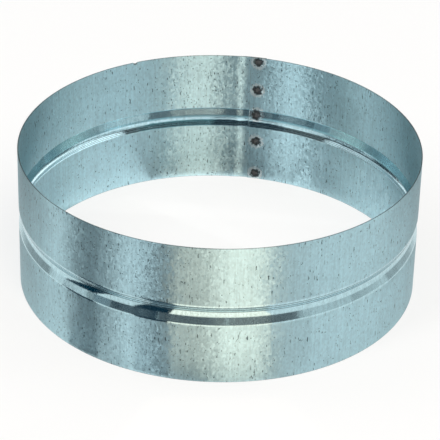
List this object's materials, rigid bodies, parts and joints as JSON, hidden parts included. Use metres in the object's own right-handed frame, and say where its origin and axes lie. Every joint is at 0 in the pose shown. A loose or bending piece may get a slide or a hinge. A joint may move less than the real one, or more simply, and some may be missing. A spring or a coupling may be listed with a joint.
{
  "type": "duct connector",
  "caption": "Short round sheet-metal band with a stop bead rolled inwards round its middle and a lapped, spot-welded seam, joining two round ducts pushed into its ends.",
  "frame": {"origin": "on the band's axis, in the middle plane of the stop bead", "axes": "+Z along the duct through one open end; +Y towards the lapped seam, which is 11 degrees from it, so -Y is the side facing the camera in the picture"},
  "size_m": [0.2016, 0.2016, 0.074],
  "materials": {
    "galvanised_sheet": "galvanised sheet steel, blue-grey zinc with a fine mottled spangle and short dark flecks, dull sheen"
  },
  "bodies": {
    "root": {"connector_band": "galvanised_sheet"}
  },
  "joints": []
}
